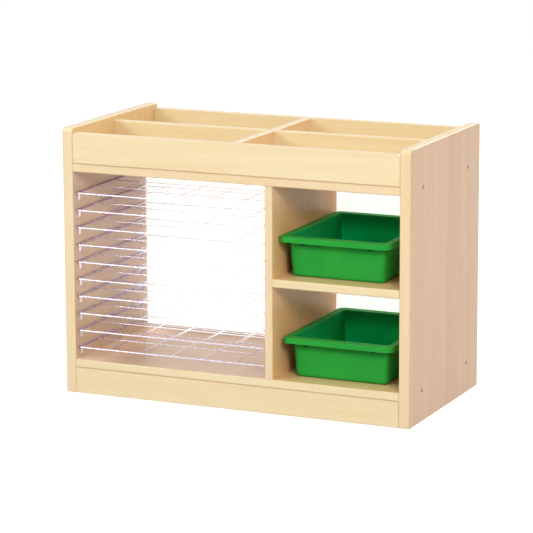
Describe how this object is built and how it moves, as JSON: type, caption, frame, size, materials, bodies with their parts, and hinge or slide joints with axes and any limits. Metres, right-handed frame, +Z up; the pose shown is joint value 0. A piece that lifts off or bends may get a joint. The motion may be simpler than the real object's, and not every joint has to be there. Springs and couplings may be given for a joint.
{
  "type": "art drying rack",
  "caption": "Low wooden art drying rack with pull-out wire shelves for wet paper, two cubbies with plastic trays and a divided supply tray on top.",
  "frame": {"origin": "middle of the footprint, on the floor", "axes": "+X to the object's right as seen from the front, -Y to the front, +Z up"},
  "size_m": [0.84, 0.432, 0.611],
  "materials": {
    "birch_board": "clear satin lacquer",
    "beech_dowel": "raw, fluted",
    "white_panel": "smooth satin white",
    "bolt_steel": "bronzed zinc",
    "nut_steel": "zinc plated",
    "clip_nickel": "nickel plated",
    "wire_nickel": "bright nickel plated",
    "green_plastic": "moulded, semi-gloss"
  },
  "bodies": {
    "cabinet": {"left_side_panel": "birch_board", "right_side_panel": "birch_board", "tray_deck": "birch_board", "bottom_shelf": "birch_board", "centre_divider": "birch_board", "cubby_shelf": "birch_board", "front_kick_board": "birch_board", "rear_kick_board": "birch_board", "tray_front_board": "birch_board", "tray_back_board": "birch_board", "tray_middle_board": "birch_board", "tray_cross_board": "birch_board", "back_panel": "white_panel", "case_dowels": "beech_dowel", "kick_board_dowels": "beech_dowel", "tray_dowels": "beech_dowel", "divider_dowels": "beech_dowel", "cubby_shelf_dowels": "beech_dowel", "panel_bolts": "bolt_steel", "barrel_nuts": "nut_steel", "left_front_clips": "clip_nickel", "left_rear_clips": "clip_nickel", "right_front_clips": "clip_nickel", "right_rear_clips": "clip_nickel"},
    "wire_shelf_01": {"wire_shelf_01": "wire_nickel"},
    "wire_shelf_02": {"wire_shelf_02": "wire_nickel"},
    "wire_shelf_03": {"wire_shelf_03": "wire_nickel"},
    "wire_shelf_04": {"wire_shelf_04": "wire_nickel"},
    "wire_shelf_05": {"wire_shelf_05": "wire_nickel"},
    "wire_shelf_06": {"wire_shelf_06": "wire_nickel"},
    "wire_shelf_07": {"wire_shelf_07": "wire_nickel"},
    "wire_shelf_08": {"wire_shelf_08": "wire_nickel"},
    "wire_shelf_09": {"wire_shelf_09": "wire_nickel"},
    "wire_shelf_10": {"wire_shelf_10": "wire_nickel"},
    "upper_bin": {"upper_bin": "green_plastic"},
    "lower_bin": {"lower_bin": "green_plastic"}
  },
  "joints": [
    {"name": "wire_shelf_01_slide", "type": "slide", "parent": "cabinet", "child": "wire_shelf_01", "axis": [0, -1, 0], "range_m": [0, 0.3]},
    {"name": "wire_shelf_02_slide", "type": "slide", "parent": "cabinet", "child": "wire_shelf_02", "axis": [0, -1, 0], "range_m": [0, 0.3]},
    {"name": "wire_shelf_03_slide", "type": "slide", "parent": "cabinet", "child": "wire_shelf_03", "axis": [0, -1, 0], "range_m": [0, 0.3]},
    {"name": "wire_shelf_04_slide", "type": "slide", "parent": "cabinet", "child": "wire_shelf_04", "axis": [0, -1, 0], "range_m": [0, 0.3]},
    {"name": "wire_shelf_05_slide", "type": "slide", "parent": "cabinet", "child": "wire_shelf_05", "axis": [0, -1, 0], "range_m": [0, 0.3]},
    {"name": "wire_shelf_06_slide", "type": "slide", "parent": "cabinet", "child": "wire_shelf_06", "axis": [0, -1, 0], "range_m": [0, 0.3]},
    {"name": "wire_shelf_07_slide", "type": "slide", "parent": "cabinet", "child": "wire_shelf_07", "axis": [0, -1, 0], "range_m": [0, 0.3]},
    {"name": "wire_shelf_08_slide", "type": "slide", "parent": "cabinet", "child": "wire_shelf_08", "axis": [0, -1, 0], "range_m": [0, 0.3]},
    {"name": "wire_shelf_09_slide", "type": "slide", "parent": "cabinet", "child": "wire_shelf_09", "axis": [0, -1, 0], "range_m": [0, 0.3]},
    {"name": "wire_shelf_10_slide", "type": "slide", "parent": "cabinet", "child": "wire_shelf_10", "axis": [0, -1, 0], "range_m": [0, 0.3]},
    {"name": "upper_bin_slide", "type": "slide", "parent": "cabinet", "child": "upper_bin", "axis": [0, -1, 0], "range_m": [0, 0.3]},
    {"name": "lower_bin_slide", "type": "slide", "parent": "cabinet", "child": "lower_bin", "axis": [0, -1, 0], "range_m": [0, 0.3]}
  ]
}
